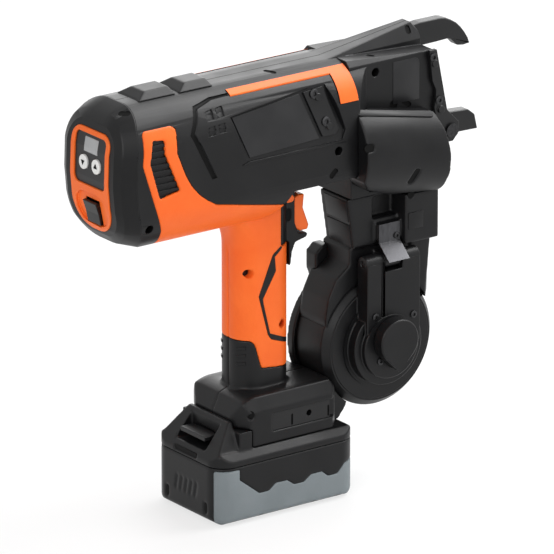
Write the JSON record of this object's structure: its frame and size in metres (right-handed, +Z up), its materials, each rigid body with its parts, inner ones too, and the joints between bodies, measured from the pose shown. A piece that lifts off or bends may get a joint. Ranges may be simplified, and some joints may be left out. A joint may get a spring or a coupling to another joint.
{
  "type": "rebar tying tool",
  "caption": "Battery hand tool that feeds wire from a side drum around crossed bars between two jaws and twists it tight; slide battery, pistol handle.",
  "frame": {"origin": "middle of the battery's underside, on the tool's mid plane", "axes": "+X forward to the jaws, +Y to the tool's left, +Z up"},
  "size_m": [0.3187, 0.0884, 0.314],
  "materials": {
    "black_plastic": "fine textured black moulding",
    "orange_plastic": "satin orange moulding",
    "grey_bumper": "grey over-moulded rubber",
    "dark_panel": "dark smooth plate",
    "white_button": "white push buttons",
    "display": "grey display window",
    "dark_steel": "blackened steel",
    "bright_steel": "machined steel",
    "tie_wire": "wound tie wire",
    "contact_brass": "contact blades",
    "board": "circuit board",
    "cell_wrap": "wrapped cells"
  },
  "bodies": {
    "tool": {"body_shell_right": "black_plastic", "body_shell_left": "black_plastic", "rear_cap": "black_plastic", "vent_louvres": "black_plastic", "screw_plates": "black_plastic", "top_pads": "black_plastic", "grip_band": "black_plastic", "trigger_bracket": "black_plastic", "feeder_cover": "black_plastic", "feeder_frame": "black_plastic", "feeder_back_cover": "black_plastic", "reel_neck": "black_plastic", "drum_shell": "black_plastic", "drum_back": "black_plastic", "foot_shell_right": "black_plastic", "foot_shell_left": "black_plastic", "handle_shell_right": "orange_plastic", "handle_shell_left": "orange_plastic", "panel_bezel": "orange_plastic", "accent_strips": "orange_plastic", "panel_plate": "dark_panel", "label_plates": "dark_panel", "trigger_switch": "dark_panel", "display_window": "display", "nose_plates": "dark_steel", "upper_jaw": "dark_steel", "hook_plates": "dark_steel", "housing_screws": "dark_steel", "lower_jaw_pin": "bright_steel", "spool_spindle": "bright_steel", "door_hinge_pin": "bright_steel", "door_spring_clip": "bright_steel", "feed_motor": "bright_steel", "motor_stator": "bright_steel", "gearbox_case": "bright_steel", "gearbox_cover": "bright_steel", "tool_terminals": "contact_brass", "control_board": "board"},
    "battery": {"battery_tub": "black_plastic", "battery_bumper": "grey_bumper", "battery_lid": "black_plastic", "battery_cells": "cell_wrap"},
    "battery_latch": {"battery_latch": "black_plastic"},
    "trigger": {"trigger": "orange_plastic"},
    "trigger_lock": {"trigger_lock": "orange_plastic"},
    "power_rocker": {"power_rocker": "black_plastic"},
    "button_up": {"button_up": "white_button"},
    "button_down": {"button_down": "white_button"},
    "reel_door": {"reel_door": "black_plastic"},
    "lock_knob": {"lock_knob": "black_plastic"},
    "reel": {"wire_spool": "dark_panel", "wire_coil": "tie_wire"},
    "lower_jaw": {"lower_jaw": "dark_steel"},
    "rotor": {"motor_rotor": "bright_steel"},
    "spindle": {"twist_spindle": "bright_steel"},
    "planet_1": {"planet_gear_1": "bright_steel"},
    "planet_2": {"planet_gear_2": "bright_steel"},
    "planet_3": {"planet_gear_3": "bright_steel"},
    "feed_drive": {"feed_drive_roller": "bright_steel"},
    "feed_idler": {"feed_idler_roller": "bright_steel"}
  },
  "joints": [
    {"name": "battery_slide", "type": "slide", "parent": "tool", "child": "battery", "axis": [-1, 0, 0], "range_m": [0, 0.11]},
    {"name": "battery_latch_press", "type": "slide", "parent": "battery", "child": "battery_latch", "axis": [0, 0, -1], "range_m": [0, 0.004], "stiffness_N_per_m": 400, "springref_m": -0.003},
    {"name": "trigger_pull", "type": "slide", "parent": "tool", "child": "trigger", "axis": [-1, 0, 0], "range_m": [0, 0.006], "stiffness_N_per_m": 600, "springref_m": -0.003},
    {"name": "trigger_lock_slide", "type": "slide", "parent": "tool", "child": "trigger_lock", "axis": [0, 1, 0], "range_m": [0, 0.004]},
    {"name": "power_rocker_tip", "type": "hinge", "parent": "tool", "child": "power_rocker", "pos_m": [-0.12809, 0, 0.22983], "axis": [0, 1, 0], "range_deg": [-9, 9]},
    {"name": "button_up_press", "type": "slide", "parent": "tool", "child": "button_up", "axis": [1, 0, 0], "range_m": [0, 0.0008], "stiffness_N_per_m": 800, "springref_m": -0.001},
    {"name": "button_down_press", "type": "slide", "parent": "tool", "child": "button_down", "axis": [1, 0, 0], "range_m": [0, 0.0008], "stiffness_N_per_m": 800, "springref_m": -0.001},
    {"name": "reel_door_swing", "type": "hinge", "parent": "tool", "child": "reel_door", "pos_m": [0.0887, -0.03015, 0.16], "axis": [-1, 0, 0], "range_deg": [0, 55]},
    {"name": "lock_knob_turn", "type": "hinge", "parent": "reel_door", "child": "lock_knob", "pos_m": [0.086, -0.03, 0.1], "axis": [0, -1, 0], "range_deg": [0, 90]},
    {"name": "reel_spin", "type": "hinge", "parent": "tool", "child": "reel", "pos_m": [0.086, 0, 0.1], "axis": [0, 1, 0], "continuous": true},
    {"name": "lower_jaw_swing", "type": "hinge", "parent": "tool", "child": "lower_jaw", "pos_m": [0.1416, 0, 0.2406], "axis": [0, 1, 0], "range_deg": [0, 25], "stiffness_Nm_per_rad": 0.4, "springref_deg": -28.65},
    {"name": "rotor_spin", "type": "hinge", "parent": "tool", "child": "rotor", "pos_m": [-0.064, 0, 0.265], "axis": [1, 0, 0], "continuous": true},
    {"name": "spindle_turn", "type": "hinge", "parent": "tool", "child": "spindle", "pos_m": [0.06, 0, 0.265], "axis": [1, 0, 0], "continuous": true},
    {"name": "planet_1_turn", "type": "hinge", "parent": "spindle", "child": "planet_1", "pos_m": [-0.0195, 0.015, 0.265], "axis": [1, 0, 0], "continuous": true},
    {"name": "planet_2_turn", "type": "hinge", "parent": "spindle", "child": "planet_2", "pos_m": [-0.0195, -0.0075, 0.27799], "axis": [1, 0, 0], "continuous": true},
    {"name": "planet_3_turn", "type": "hinge", "parent": "spindle", "child": "planet_3", "pos_m": [-0.0195, -0.0075, 0.25201], "axis": [1, 0, 0], "continuous": true},
    {"name": "feed_drive_turn", "type": "hinge", "parent": "tool", "child": "feed_drive", "pos_m": [0.104, 0, 0.226], "axis": [0, 1, 0], "continuous": true},
    {"name": "feed_idler_turn", "type": "hinge", "parent": "tool", "child": "feed_idler", "pos_m": [0.1206, 0, 0.226], "axis": [0, 1, 0], "continuous": true}
  ],
  "couplings": [
    {"joint": "spindle_turn", "follows": "rotor_spin", "ratio": 0.2},
    {"joint": "planet_1_turn", "follows": "rotor_spin", "ratio": -0.53333},
    {"joint": "planet_2_turn", "follows": "rotor_spin", "ratio": -0.53333},
    {"joint": "planet_3_turn", "follows": "rotor_spin", "ratio": -0.53333},
    {"joint": "feed_idler_turn", "follows": "feed_drive_turn", "ratio": -1}
  ]
}
